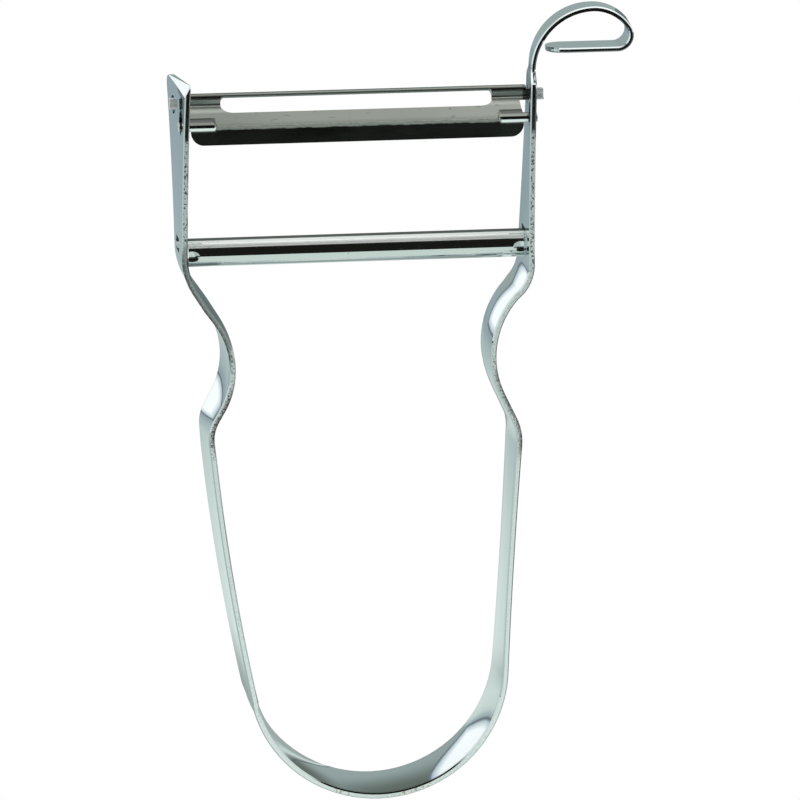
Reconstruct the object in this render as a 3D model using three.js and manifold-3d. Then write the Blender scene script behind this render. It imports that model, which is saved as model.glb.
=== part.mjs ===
// Swivel-blade vegetable peeler, sizes in millimetres, +Z up, blade end on top, front towards -Y.
// Three pieces: a bow bent from one strip, which ends in the eye remover, a stamped blade that
// swings on its own two tongues, and a folded crossbar riveted between the arms.
import * as THREE from "three";
import Module from "manifold-3d";

const wasm = await Module();
wasm.setup();
const { Manifold, CrossSection, Mesh: SolidMesh } = wasm;

// Strip of the bow.
const STRIP_WIDTH = 12;
const STRIP_THICKNESS = 0.85;
const STRIP_EDGE_BREAK = 0.18;
// The handle's stretch of the strip is crowned: its middle stands further in than its two edges.
const STRIP_CROWN = 0.3;
const CROWN_FADE = 5;
const ARM_TOP_HEIGHT = 106.15;
const LEFT_ARM_X = -31.5;
const EAR_BACK_CORNER_RADIUS = 1.6;
const EAR_FRONT_CORNER_RADIUS = 0.5;
const EAR_CHAMFER_ALONG_TOP = 10.5;
const EAR_CHAMFER_DOWN_FRONT = 1.6;

// Bends of the bow, as pins that the strip's middle line wraps: place x and z, radius, side.
// Side 1 turns the strip towards the inside of the bow and side -1 towards the outside.
// Lean is how much further in the strip's front edge stands than its back edge, at the bend
// itself, at the bend's far end as leanOut and halfway along the straight run after it as runLean.
const EAR_LEAN = 1.7;
const LEFT_ARM_LEAN = 0.6;
const LEFT_BEND = { x: -21.6, z: 81.3, radius: 9.9, side: 1, lean: 0, runLean: -0.1 };
const LEFT_WAIST = { x: -36.8, z: 64.8, radius: 11.8, side: -1, lean: 0.25, leanOut: 0.4 };
const LEFT_SHOULDER = { x: -22.6, z: 54.5, radius: 5.6, side: 1, lean: 0.3 };
const LEFT_LEG_RADIUS = 330;
const LEFT_LEG_LEAN = 0.45;
const BOTTOM_BEND = { x: -4.1, z: 18.95, radius: 18.7, side: 1, lean: 0.1, runLean: 0.45 };
const RIGHT_SHOULDER = { x: 8.9, z: 52.7, radius: 7.8, side: 1, lean: 0.1 };
const RIGHT_WAIST = { x: 26, z: 65.3, radius: 13, side: -1, lean: 0.2 };
const RIGHT_BEND = { x: 12.5, z: 78.7, radius: 6, side: 1, lean: 0, runLean: 0.75 };

// Eye remover, the narrow end of the strip curled over the right arm.
const LOOP_CROWN = { x: 28.15, z: ARM_TOP_HEIGHT + 0.21, radius: 8.7, side: -1, lean: 1.1, leanOut: 0.4 };
const LOOP_SIDE = { x: 31.45, z: ARM_TOP_HEIGHT + 5.2, radius: 2.1, side: -1, lean: -0.8, leanOut: 0 };
const LOOP_TIP_X = 21.4;
const LOOP_TIP_ABOVE_ARM_TOP = 3.1;
const LOOP_WIDTH = 6.2;
const LOOP_THICKNESS = 0.7;
const LOOP_NECK_BELOW_ARM_TOP = 1.55;
const LOOP_NECK_HEIGHT = 2;
const LOOP_TIP_RADIUS = 2.6;

// Blade: one stamped sheet, its section told from the pivot axis (forward, up).
const PIVOT_BELOW_ARM_TOP = 3.93;
const PIVOT_BEHIND_FRONT_EDGE = 8;
const PIVOT_HOLE_DIAMETER = 2.7;
const BLADE_SHEET = 0.6;
const BLADE_FLANGE_FORWARD = 5.45;
const BLADE_FLANGE_LEAN = 0.09;
const BLADE_FLANGE_BOTTOM = -5.1;
const BLADE_FLANGE_TOP = -2.65;
const BLADE_STEP_BOTTOM = -0.45;
const BLADE_STEP_TOP = 1.09;
const BLADE_STEP_LEAN = 0.3;
const BLADE_RIM_RADIUS = 0.5;
const BLADE_LIP_DEPTH = 2.3;
const BLADE_LIP_FALL = 0.35;
const BLADE_BEND_RADIUS = 0.75;
const BLADE_FLANGE_BEND_RADIUS = 0.25;
const BLADE_CORNER_RADIUS = 1.9;
const BLADE_LEFT_GAP = 0.39;
const BLADE_RIGHT_GAP = 0.6;
const BLADE_SHOULDER_GAP = 0.25;
const BLADE_SLOT_LEFT_X = -25.4;
const BLADE_SLOT_RIGHT_X = 13.8;
const BLADE_SLOT_FRONT = { forward: 2.3, up: -1.1 };
const BLADE_SLOT_BACK = { forward: 0.1, up: 0.96 };
const BLADE_SLOT_FRONT_RADIUS = 1.8;
const BLADE_SLOT_BACK_RADIUS = 0.6;
const PIVOT_TONGUE_FRONT = 0.9;
const PIVOT_TONGUE_BEHIND = 0.75;
const PIVOT_TONGUE_LOW = -0.68;
const PIVOT_TONGUE_HIGH = 0.82;
const PIVOT_TONGUE_ROUND = 1.08;
const PIVOT_TONGUE_LEFT_REACH = 0.55;
const PIVOT_TONGUE_RIGHT_REACH = 1.4;
const STOP_TONGUE_REACH = 0.25;
const STOP_TONGUE_BACK = 4.7;
const STOP_TONGUE_LOW = -3;
const BLADE_SWING_DEG = 36;
const STOP_SLOT_CLEARANCE = 0.2;
const BEAD_NOSE_RADIUS = 0.6;
const BEAD_NOSE = { forward: 5.4, up: -2.55 };
const BEAD_TAIL_FORWARD = 3.6;
const BEAD_WALL = 0.35;
const BEAD_LENGTH = 3.8;

// Crossbar: a sheet folded to a channel that is open to the back.
const BAR_HEIGHT = 80.75;
const BAR_TALL = 3.5;
const BAR_DEEP = 4.8;
const BAR_SHEET = 0.6;
const BAR_FIT = 0.2;
const BAR_TAB_WIDTH = 3.6;
const BAR_TAB_CLEARANCE = 0.25;
const BAR_TAB_SLACK = 0.75;
const BAR_TAB_PROUD = 0.15;
const BAR_STAKE_RADIUS = 2.2;
const BAR_STAKE_DEPTH = 0.32;
const BAR_STAKE_FROM_END = 0.45;

// Smoothness of the arcs.
const BOW_ARC_STEP = THREE.MathUtils.degToRad(4);
const BOW_RUN_STEP = 3;
const SHEET_ARC_STEP = THREE.MathUtils.degToRad(15);
const ROUND_SEGMENTS = 32;
const ACROSS_SHARES = [0, 1 / 6, 1 / 3, 1 / 2, 2 / 3, 5 / 6, 1];

const FRONT = -STRIP_WIDTH / 2;
const BACK = STRIP_WIDTH / 2;
const PIVOT_Y = FRONT + PIVOT_BEHIND_FRONT_EDGE;
const PIVOT_HEIGHT = ARM_TOP_HEIGHT - PIVOT_BELOW_ARM_TOP;
const LOOP_NECK_FOOT = ARM_TOP_HEIGHT - LOOP_NECK_BELOW_ARM_TOP;
const LOOP_TIP_Z = ARM_TOP_HEIGHT + LOOP_TIP_ABOVE_ARM_TOP;

// Line and arc chain in a plane

const leftOf = (heading) => [-Math.sin(heading), Math.cos(heading)];

// Heading of the straight line that leaves one pin and runs onto the next.
function tangentHeading(from, to) {
  const dx = to.x - from.x;
  const dz = to.z - from.z;
  const swing = (to.side * to.radius - from.side * from.radius) / Math.hypot(dx, dz);
  return Math.atan2(dz, dx) - Math.asin(THREE.MathUtils.clamp(swing, -1, 1));
}

// A pin of a given large radius that touches two pins of the same side, as a slightly bowed leg does.
function bowedLeg(from, to, radius, lean) {
  const dx = to.x - from.x;
  const dz = to.z - from.z;
  const span = Math.hypot(dx, dz);
  const a = radius - from.radius;
  const b = radius - to.radius;
  const along = (a * a - b * b + span * span) / (2 * span);
  const aside = Math.sqrt(Math.max(0, a * a - along * along));
  const x = from.x + (dx * along - dz * aside) / span;
  const z = from.z + (dz * along + dx * aside) / span;
  return { x, z, radius, side: from.side, lean };
}

// Stations of the strip's middle line, each with its place, heading, lean and length so far.
function wrapPins(pins, arcStep, straightStep) {
  const stations = [];
  const add = (x, z, heading, lean) => {
    const last = stations[stations.length - 1];
    const length = last ? last.length + Math.hypot(x - last.x, z - last.z) : 0;
    if (last && length - last.length < 1e-4) return;
    stations.push({ x, z, heading, lean, length });
  };
  const headings = pins.slice(1).map((pin, i) => tangentHeading(pins[i], pin));
  const touch = (pin, heading) => {
    const [nx, nz] = leftOf(heading);
    return [pin.x - pin.side * pin.radius * nx, pin.z - pin.side * pin.radius * nz];
  };
  const leanOut = (pin) => pin.leanOut ?? pin.lean;
  pins.forEach((pin, i) => {
    const first = i === 0 ? headings[0] : headings[i - 1];
    const last = i === headings.length ? first : headings[i];
    const turn = THREE.MathUtils.euclideanModulo(pin.side * (last - first) + 1e-9, 2 * Math.PI) - 1e-9;
    const byChord = Math.ceil((turn * pin.radius) / straightStep);
    const steps = pin.radius > 0 ? Math.max(1, byChord, Math.ceil(turn / arcStep)) : 0;
    for (let k = 0; k <= steps; k += 1) {
      const t = steps ? k / steps : 0;
      const heading = first + pin.side * turn * t;
      add(...touch(pin, heading), heading, THREE.MathUtils.lerp(pin.lean, leanOut(pin), t));
    }
    if (i === headings.length) return;
    const from = touch(pin, last);
    const to = touch(pins[i + 1], last);
    const run = Math.hypot(to[0] - from[0], to[1] - from[1]);
    const parts = Math.max(1, Math.round(run / straightStep));
    for (let k = 1; k < parts; k += 1) {
      const t = k / parts;
      const even = THREE.MathUtils.lerp(leanOut(pin), pins[i + 1].lean, t);
      const halfway = (leanOut(pin) + pins[i + 1].lean) / 2;
      const lean = even + 4 * t * (1 - t) * ((pin.runLean ?? halfway) - halfway);
      add(from[0] + (to[0] - from[0]) * t, from[1] + (to[1] - from[1]) * t, last, lean);
    }
  });
  return stations;
}

// Adds stations at chosen lengths, so that corners and shoulders of the blank come out crisp.
function refine(stations, lengths) {
  const out = stations.slice();
  for (const at of lengths) {
    const i = out.findIndex((s) => s.length > at + 1e-3);
    if (i < 1 || at - out[i - 1].length < 1e-3) continue;
    const [a, b] = [out[i - 1], out[i]];
    const t = (at - a.length) / (b.length - a.length);
    const mix = (key) => THREE.MathUtils.lerp(a[key], b[key], t);
    out.splice(i, 0, { x: mix("x"), z: mix("z"), heading: mix("heading"), lean: mix("lean"), length: at });
  }
  return out;
}

// Sheet helpers

const solidToGeometry = (solid) => {
  const mesh = solid.getMesh();
  const positions = new Float32Array(mesh.numVert * 3);
  for (let i = 0; i < mesh.numVert; i += 1) {
    const at = i * mesh.numProp;
    positions.set(mesh.vertProperties.subarray(at, at + 3), i * 3);
  }
  const geometry = new THREE.BufferGeometry();
  geometry.setAttribute("position", new THREE.BufferAttribute(positions, 3));
  geometry.setIndex(new THREE.BufferAttribute(new Uint32Array(mesh.triVerts), 1));
  const flat = geometry.toNonIndexed();
  flat.computeVertexNormals();
  return flat;
};

// Closed solid from rings of equal size, one ring per station.
function loftRings(rings) {
  const around = rings[0].length;
  const positions = new Float32Array(rings.flat(2));
  const faces = [];
  for (let i = 0; i + 1 < rings.length; i += 1) {
    for (let k = 0; k < around; k += 1) {
      const next = (k + 1) % around;
      const [a, b] = [i * around + k, i * around + next];
      const [c, d] = [a + around, b + around];
      faces.push(a, b, d, a, d, c);
    }
  }
  const end = (rings.length - 1) * around;
  for (let k = 1; k + 1 < around; k += 1) {
    faces.push(0, k + 1, k, end, end + k, end + k + 1);
  }
  const triVerts = new Uint32Array(faces);
  const solid = new Manifold(new SolidMesh({ numProp: 3, vertProperties: positions, triVerts }));
  if (solid.volume() > 0) return solid;
  for (let i = 0; i < triVerts.length; i += 3) {
    [triVerts[i + 1], triVerts[i + 2]] = [triVerts[i + 2], triVerts[i + 1]];
  }
  return new Manifold(new SolidMesh({ numProp: 3, vertProperties: positions, triVerts }));
}

// Prism of a (y, z) outline from one x to another.
function prismAlongX(outline, x0, x1) {
  const turn = [0, 1, 0, 0, 0, 0, 1, 0, 1, 0, 0, 0, x0, 0, 0, 1];
  return new CrossSection([outline], "Positive").extrude(x1 - x0).transform(turn);
}

// Prism of an (x, z) outline through the full depth.
function prismAlongY(outline, y0, y1) {
  const turn = [1, 0, 0, 0, 0, 0, 1, 0, 0, -1, 0, 0, 0, y1, 0, 1];
  return new CrossSection([outline], "Positive").extrude(y1 - y0).transform(turn);
}

const boxSolid = (x0, x1, y0, y1, z0, z1) =>
  Manifold.cube([x1 - x0, y1 - y0, z1 - z0]).translate([x0, y0, z0]);

const cylinderAlongX = (y, z, radius, x0, x1) =>
  Manifold.cylinder(x1 - x0, radius, radius, ROUND_SEGMENTS).rotate([0, 90, 0]).translate([x0, y, z]);

// Corner points with radii, turned into a smooth middle line, as a press brake bends a sheet.
function bentLine(corners) {
  const line = [];
  corners.forEach(({ y, z, radius = 0 }, i) => {
    if (!radius || i === 0 || i === corners.length - 1) {
      line.push([y, z]);
      return;
    }
    const [before, after] = [corners[i - 1], corners[i + 1]];
    const inward = Math.atan2(z - before.z, y - before.y);
    const outward = Math.atan2(after.z - z, after.y - y);
    let turn = outward - inward;
    if (turn > Math.PI) turn -= 2 * Math.PI;
    if (turn < -Math.PI) turn += 2 * Math.PI;
    const side = Math.sign(turn);
    const setback = radius * Math.tan(Math.abs(turn) / 2);
    const [nx, nz] = leftOf(inward);
    const centre = [
      y - setback * Math.cos(inward) + side * radius * nx,
      z - setback * Math.sin(inward) + side * radius * nz,
    ];
    const steps = Math.max(2, Math.ceil(Math.abs(turn) / SHEET_ARC_STEP));
    for (let k = 0; k <= steps; k += 1) {
      const [mx, mz] = leftOf(inward + (turn * k) / steps);
      line.push([centre[0] - side * radius * mx, centre[1] - side * radius * mz]);
    }
  });
  return line;
}

// Outline of a sheet of even thickness along a middle line.
function sheetOutline(line, thickness) {
  const sides = [[], []];
  line.forEach(([y, z], i) => {
    const before = line[Math.max(0, i - 1)];
    const after = line[Math.min(line.length - 1, i + 1)];
    const into = Math.atan2(z - before[1], y - before[0]);
    const out = Math.atan2(after[1] - z, after[0] - y);
    const first = i === 0 ? out : into;
    const second = i === line.length - 1 ? into : out;
    const [ax, az] = leftOf(first);
    const [bx, bz] = leftOf(second);
    const scale = thickness / 2 / (1 + ax * bx + az * bz);
    sides[0].push([y + (ax + bx) * scale, z + (az + bz) * scale]);
    sides[1].push([y - (ax + bx) * scale, z - (az + bz) * scale]);
  });
  return [...sides[0].reverse(), ...sides[1]];
}

// Rectangle with rounded corners, anticlockwise, in any plane.
function roundedRectangle(x0, x1, z0, z1, radii) {
  const centres = [
    [x1 - radii[0], z0 + radii[0], radii[0], -90],
    [x1 - radii[1], z1 - radii[1], radii[1], 0],
    [x0 + radii[2], z1 - radii[2], radii[2], 90],
    [x0 + radii[3], z0 + radii[3], radii[3], 180],
  ];
  const outline = [];
  for (const [cx, cz, radius, start] of centres) {
    const steps = radius > 0 ? ROUND_SEGMENTS / 4 : 0;
    for (let k = 0; k <= steps; k += 1) {
      const angle = THREE.MathUtils.degToRad(start + (steps ? (90 * k) / steps : 0));
      outline.push([cx + radius * Math.cos(angle), cz + radius * Math.sin(angle)]);
    }
  }
  return outline;
}

// Bow

const earTip = {
  x: LEFT_ARM_X,
  z: ARM_TOP_HEIGHT,
  radius: 0,
  side: 1,
  lean: EAR_LEAN,
  runLean: LEFT_ARM_LEAN,
};
const loopTip = { x: LOOP_TIP_X, z: LOOP_TIP_Z, radius: 0, side: -1, lean: 0 };

// The arc that leaves the top of the crown level and runs onto the side of the loop.
function fallTo(crown, end) {
  const dx = end.x - crown.x;
  const dz = end.z - crown.z - crown.radius;
  const radius = (end.radius ** 2 - dx * dx - dz * dz) / (2 * (dz + end.radius));
  return {
    x: crown.x,
    z: crown.z + crown.radius - radius,
    radius,
    side: crown.side,
    lean: crown.leanOut,
    leanOut: end.lean,
  };
}

const leftLeg = bowedLeg(LEFT_SHOULDER, BOTTOM_BEND, LEFT_LEG_RADIUS, LEFT_LEG_LEAN);
const bowPins = [
  earTip,
  LEFT_BEND,
  LEFT_WAIST,
  LEFT_SHOULDER,
  leftLeg,
  BOTTOM_BEND,
  RIGHT_SHOULDER,
  RIGHT_WAIST,
  RIGHT_BEND,
  LOOP_CROWN,
  fallTo(LOOP_CROWN, LOOP_SIDE),
  LOOP_SIDE,
  loopTip,
];

let middleLine = wrapPins(bowPins, BOW_ARC_STEP, BOW_RUN_STEP);
const bowLength = middleLine[middleLine.length - 1].length;
const neckAt = middleLine.findIndex((s) => s.x > 0 && s.z > LOOP_NECK_FOOT);
const neckStart = middleLine[neckAt].length - (middleLine[neckAt].z - LOOP_NECK_FOOT);
const neckSteps = [0, 0.15, 0.3, 0.4, 0.5, 0.6, 0.7, 0.85, 1].map((t) => neckStart + t * LOOP_NECK_HEIGHT);
const roundSteps = (radius, at, way) =>
  [0.02, 0.08, 0.2, 0.36, 0.55, 0.78, 1].map((t) => at + way * radius * t);
middleLine = refine(middleLine, [
  ...roundSteps(EAR_BACK_CORNER_RADIUS, 0, 1),
  ...neckSteps,
  ...roundSteps(LOOP_TIP_RADIUS, bowLength, -1),
]);

// How far a rounded corner of the blank pulls its edge in, at a distance from the cut end.
const cornerPull = (radius, distance) =>
  distance >= radius ? 0 : radius - Math.sqrt(Math.max(0, radius * radius - (radius - distance) ** 2));

// Share of the way from the arm's section to the loop's narrower and thinner section.
function neckShare(length) {
  const t = THREE.MathUtils.clamp((length - neckStart) / LOOP_NECK_HEIGHT, 0, 1);
  return 0.5 - 0.5 * Math.cos(Math.PI * t);
}

// Front and back edge of the blank at a length along it.
function blankEdges(length) {
  const necked = ((STRIP_WIDTH - LOOP_WIDTH) / 2) * neckShare(length);
  const tip = cornerPull(LOOP_TIP_RADIUS, bowLength - length);
  return {
    front: FRONT + necked + tip + cornerPull(EAR_FRONT_CORNER_RADIUS, length),
    back: BACK - necked - tip - cornerPull(EAR_BACK_CORNER_RADIUS, length),
  };
}

// The crown fades out below the crossbar, so that the arms are flat where the blade turns in them.
function crownAt(station) {
  const end = BAR_HEIGHT - BAR_TALL / 2;
  return STRIP_CROWN * THREE.MathUtils.smoothstep(end - station.z, 0, CROWN_FADE);
}

const leanAt = (station, y) => (-station.lean * y) / STRIP_WIDTH;

const bowRings = middleLine.map((station) => {
  const { front, back } = blankEdges(station.length);
  const [nx, nz] = leftOf(station.heading);
  const half = THREE.MathUtils.lerp(STRIP_THICKNESS, LOOP_THICKNESS, neckShare(station.length)) / 2;
  const brk = STRIP_EDGE_BREAK;
  const across = ACROSS_SHARES.map((t) => THREE.MathUtils.lerp(front + brk, back - brk, t));
  const crown = crownAt(station);
  const raised = (y) => crown * (1 - (2 * y / STRIP_WIDTH) ** 2);
  const section = [
    [-half + brk, front],
    ...across.map((y) => [raised(y) - half, y]),
    [-half + brk, back],
    [half - brk, back],
    ...across.map((y) => [raised(y) + half, y]).reverse(),
    [half - brk, front],
  ];
  return section.map(([aside, y]) => {
    const off = aside + leanAt(station, y);
    return [station.x + nx * off, y, station.z + nz * off];
  });
});
let bow = loftRings(bowRings);

// The two arms' stretches of the middle line, from the waist up, and a face of an arm at a height
// and depth. Inner is 1 for the face towards the bow's middle and -1 for the outer face.
const leftArm = middleLine.filter((s) => s.length < bowLength / 3 && s.z > LEFT_WAIST.z);
const rightArm = middleLine.filter((s) => s.x > 0 && s.length < neckStart && s.z > RIGHT_WAIST.z);
function armFaceX(arm, inward, inner, z, y) {
  const i = Math.max(1, arm.findIndex((s, k) => k > 0 && (s.z - z) * (arm[k - 1].z - z) <= 0));
  const [a, b] = [arm[i - 1], arm[i]];
  const t = (z - a.z) / (b.z - a.z);
  const lean = THREE.MathUtils.lerp(a.lean, b.lean, t);
  const upright = Math.abs(Math.sin(THREE.MathUtils.lerp(a.heading, b.heading, t)));
  const off = ((inner * STRIP_THICKNESS) / 2 - (lean * y) / STRIP_WIDTH) / upright;
  return THREE.MathUtils.lerp(a.x, b.x, t) + inward * off;
}
const leftArmFaceX = (inner, z, y) => armFaceX(leftArm, 1, inner, z, y);
const rightArmFaceX = (inner, z, y) => armFaceX(rightArm, -1, inner, z, y);

// The ear's outer front corner is rolled over where the blank was sheared.
const earFaceX = (inner, y) => leftArmFaceX(inner, ARM_TOP_HEIGHT - EAR_FRONT_CORNER_RADIUS, y);
const chamferY = FRONT + EAR_CHAMFER_ALONG_TOP;
const chamferCorners = [
  [earFaceX(-1, chamferY), chamferY, ARM_TOP_HEIGHT],
  [earFaceX(-1, FRONT), FRONT, ARM_TOP_HEIGHT - EAR_CHAMFER_DOWN_FRONT],
  [earFaceX(1, FRONT), FRONT, ARM_TOP_HEIGHT],
].map((p) => new THREE.Vector3(...p));
const [alongTop, alongFace] = [1, 2].map((i) => chamferCorners[i].clone().sub(chamferCorners[0]));
const chamferNormal = new THREE.Vector3().crossVectors(alongTop, alongFace).normalize();
if (chamferNormal.z < 0) chamferNormal.negate();
const chamferMiddle = new THREE.Vector3();
chamferCorners.forEach((p) => chamferMiddle.addScaledVector(p, 1 / 3));
const chamferTool = Manifold.hull(
  chamferCorners.flatMap((p) => {
    const wide = p.clone().sub(chamferMiddle).multiplyScalar(3).add(chamferMiddle);
    return [wide.toArray(), wide.clone().addScaledVector(chamferNormal, 3).toArray()];
  }),
);
bow = bow.subtract(chamferTool);

// Blade section, from the pivot axis: forward is towards the front, -Y.
const bladePoint = (forward, up) => ({ y: PIVOT_Y - forward, z: PIVOT_HEIGHT + up });
const bladeLine = bentLine([
  bladePoint(BLADE_FLANGE_FORWARD + BLADE_FLANGE_LEAN, BLADE_FLANGE_BOTTOM),
  { ...bladePoint(BLADE_FLANGE_FORWARD, BLADE_FLANGE_TOP), radius: BLADE_FLANGE_BEND_RADIUS },
  { ...bladePoint(0, BLADE_STEP_BOTTOM), radius: BLADE_BEND_RADIUS },
  { ...bladePoint(BLADE_STEP_LEAN, BLADE_STEP_TOP), radius: BLADE_RIM_RADIUS },
  bladePoint(-BLADE_LIP_DEPTH, BLADE_STEP_TOP - BLADE_LIP_FALL),
]);
const bladeOutline = sheetOutline(bladeLine, BLADE_SHEET);

const stopForward = BLADE_FLANGE_FORWARD - BLADE_SHEET;
const stopY = PIVOT_Y - stopForward;
const stopZ = PIVOT_HEIGHT + BLADE_FLANGE_TOP;
const bodyLeft = leftArmFaceX(1, stopZ, FRONT) + BLADE_LEFT_GAP;
const bodyRight = rightArmFaceX(1, stopZ, FRONT) - BLADE_RIGHT_GAP;
const pivotTipLeft = leftArmFaceX(-1, PIVOT_HEIGHT, PIVOT_Y) - PIVOT_TONGUE_LEFT_REACH;
const pivotTipRight = rightArmFaceX(-1, PIVOT_HEIGHT, PIVOT_Y) + PIVOT_TONGUE_RIGHT_REACH;
const stopTipLeft = leftArmFaceX(-1, stopZ, stopY) - STOP_TONGUE_REACH;
const stopTipRight = rightArmFaceX(-1, stopZ, stopY) + STOP_TONGUE_REACH;

const bladeBody = prismAlongY(
  roundedRectangle(
    bodyLeft,
    bodyRight,
    PIVOT_HEIGHT + BLADE_FLANGE_BOTTOM,
    PIVOT_HEIGHT + BLADE_STEP_TOP + BLADE_SHEET,
    [BLADE_CORNER_RADIUS, 0, 0, BLADE_CORNER_RADIUS],
  ),
  PIVOT_Y - BLADE_FLANGE_FORWARD - BLADE_SHEET,
  PIVOT_Y + BLADE_LIP_DEPTH + BLADE_SHEET,
);
const shoulderLeft = leftArmFaceX(1, PIVOT_HEIGHT, PIVOT_Y) + BLADE_SHOULDER_GAP;
const shoulderRight = rightArmFaceX(1, PIVOT_HEIGHT, PIVOT_Y) - BLADE_SHOULDER_GAP;
const pivotShoulders = boxSolid(
  shoulderLeft,
  shoulderRight,
  PIVOT_Y - PIVOT_TONGUE_FRONT,
  PIVOT_Y + BLADE_LIP_DEPTH + BLADE_SHEET,
  PIVOT_HEIGHT + PIVOT_TONGUE_LOW,
  PIVOT_HEIGHT + BLADE_STEP_TOP + BLADE_SHEET,
);
const pivotTongues = boxSolid(
  pivotTipLeft,
  pivotTipRight,
  PIVOT_Y - PIVOT_TONGUE_FRONT,
  PIVOT_Y + PIVOT_TONGUE_BEHIND,
  PIVOT_HEIGHT + PIVOT_TONGUE_LOW,
  PIVOT_HEIGHT + PIVOT_TONGUE_HIGH,
).intersect(cylinderAlongX(PIVOT_Y, PIVOT_HEIGHT, PIVOT_TONGUE_ROUND, pivotTipLeft, pivotTipRight));
const stopTongues = boxSolid(
  stopTipLeft,
  stopTipRight,
  PIVOT_Y - BLADE_FLANGE_FORWARD - BLADE_SHEET,
  PIVOT_Y - STOP_TONGUE_BACK,
  PIVOT_HEIGHT + STOP_TONGUE_LOW,
  PIVOT_HEIGHT,
);

// Bead pressed out to the front over the bend at each end: a ledge that leaves the web at its tail
// and ends in a round nose before the flange, with its hollow behind.
const slope = Math.atan2(BLADE_STEP_BOTTOM - BLADE_FLANGE_TOP, BLADE_FLANGE_FORWARD);
const webUp = (forward) => BLADE_STEP_BOTTOM - Math.tan(slope) * forward;
const sheetRise = BLADE_SHEET / 2 / Math.cos(slope);
const nose = bladePoint(BEAD_NOSE.forward, BEAD_NOSE.up);
const beadSide = bentLine([
  bladePoint(BLADE_FLANGE_FORWARD + BLADE_FLANGE_LEAN, BLADE_FLANGE_BOTTOM),
  { ...bladePoint(BLADE_FLANGE_FORWARD, BLADE_FLANGE_TOP), radius: BLADE_FLANGE_BEND_RADIUS },
  bladePoint(0, BLADE_STEP_BOTTOM),
]);
const beadReach = BEAD_NOSE.forward + 2 * BEAD_NOSE_RADIUS;
const beforeSheet = [
  ...beadSide,
  [PIVOT_Y, PIVOT_HEIGHT],
  [PIVOT_Y - beadReach, PIVOT_HEIGHT],
  [PIVOT_Y - beadReach, PIVOT_HEIGHT + BLADE_FLANGE_BOTTOM],
];
const beadRuns = [
  [bodyLeft + BEAD_LENGTH - BEAD_NOSE_RADIUS, stopTipLeft],
  [bodyRight - BEAD_LENGTH + BEAD_NOSE_RADIUS, stopTipRight],
];
let blade = prismAlongX(bladeOutline, pivotTipLeft, pivotTipRight).intersect(
  Manifold.union([bladeBody, pivotShoulders, pivotTongues, stopTongues]),
);
const beadBounds = Manifold.union([bladeBody, stopTongues]);
beadRuns.forEach(([closed, open]) => {
  const run = [closed, open].sort((a, b) => a - b);
  const ledge = (radius, tailRise) => {
    const tail = bladePoint(BEAD_TAIL_FORWARD, webUp(BEAD_TAIL_FORWARD) + tailRise);
    return Manifold.hull([
      cylinderAlongX(nose.y, nose.z, radius, ...run),
      Manifold.sphere(radius, ROUND_SEGMENTS).translate([closed, nose.y, nose.z]),
      cylinderAlongX(tail.y, tail.z, BEAD_WALL / 8, ...run),
    ]);
  };
  const raised = ledge(BEAD_NOSE_RADIUS, sheetRise);
  const hollow = ledge(BEAD_NOSE_RADIUS - BEAD_WALL, -sheetRise);
  const inFront = prismAlongX(beforeSheet, ...run).add(
    prismAlongX(beforeSheet, closed - BEAD_NOSE_RADIUS, closed + BEAD_NOSE_RADIUS),
  );
  blade = blade.add(raised.intersect(inFront).intersect(beadBounds)).subtract(hollow);
});

// The long slot, cut through the web and the step; its two long sides are the cutting edges.
const slotFront = bladePoint(BLADE_SLOT_FRONT.forward, BLADE_SLOT_FRONT.up);
const slotBack = bladePoint(BLADE_SLOT_BACK.forward, BLADE_SLOT_BACK.up);
const slotWide = Math.hypot(slotBack.y - slotFront.y, slotBack.z - slotFront.z);
const slotDir = [(slotBack.y - slotFront.y) / slotWide, (slotBack.z - slotFront.z) / slotWide];
const slotReach = 2.2;
const slotFrame = [
  1, 0, 0, 0,
  0, slotDir[0], slotDir[1], 0,
  0, -slotDir[1], slotDir[0], 0,
  0, slotFront.y + slotDir[1] * slotReach, slotFront.z - slotDir[0] * slotReach, 1,
];
const slotCorners = [
  BLADE_SLOT_FRONT_RADIUS,
  BLADE_SLOT_BACK_RADIUS,
  BLADE_SLOT_BACK_RADIUS,
  BLADE_SLOT_FRONT_RADIUS,
];
const slotTool = new CrossSection(
  [roundedRectangle(BLADE_SLOT_LEFT_X, BLADE_SLOT_RIGHT_X, 0, slotWide, slotCorners)],
  "Positive",
)
  .extrude(2 * slotReach)
  .transform(slotFrame);
blade = blade.subtract(slotTool);

// Holes of the arms: the pivot's round hole and the arc slot in which the stop tongue travels.
const holeReach = 4;
const armHoles = [leftArmFaceX(0, PIVOT_HEIGHT, 0), rightArmFaceX(0, PIVOT_HEIGHT, 0)].map((x) => [
  x - holeReach,
  x + holeReach,
]);
const noseReach = Math.hypot(BEAD_NOSE.forward, BEAD_NOSE.up);
const flangeReach = Math.hypot(BLADE_FLANGE_FORWARD + BLADE_SHEET / 2, STOP_TONGUE_LOW);
const stopOuterRadius = Math.max(flangeReach, noseReach + BEAD_NOSE_RADIUS) + STOP_SLOT_CLEARANCE;
const stopInnerRadius = STOP_TONGUE_BACK - STOP_SLOT_CLEARANCE;
const stopPlay = STOP_SLOT_CLEARANCE / stopInnerRadius;
const stopLow = Math.atan2(STOP_TONGUE_LOW, BLADE_FLANGE_FORWARD - BLADE_SHEET / 2);
const noseHigh = Math.atan2(BEAD_NOSE.up, BEAD_NOSE.forward) + Math.asin(BEAD_NOSE_RADIUS / noseReach);
const webHigh = Math.atan2(webUp(STOP_TONGUE_BACK) + sheetRise, STOP_TONGUE_BACK);
const stopLowAngle = stopLow - stopPlay;
const stopHighAngle = Math.max(webHigh, noseHigh) + THREE.MathUtils.degToRad(BLADE_SWING_DEG) + stopPlay;
const stopSlotOutline = [];
const stopSteps = 12;
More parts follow.
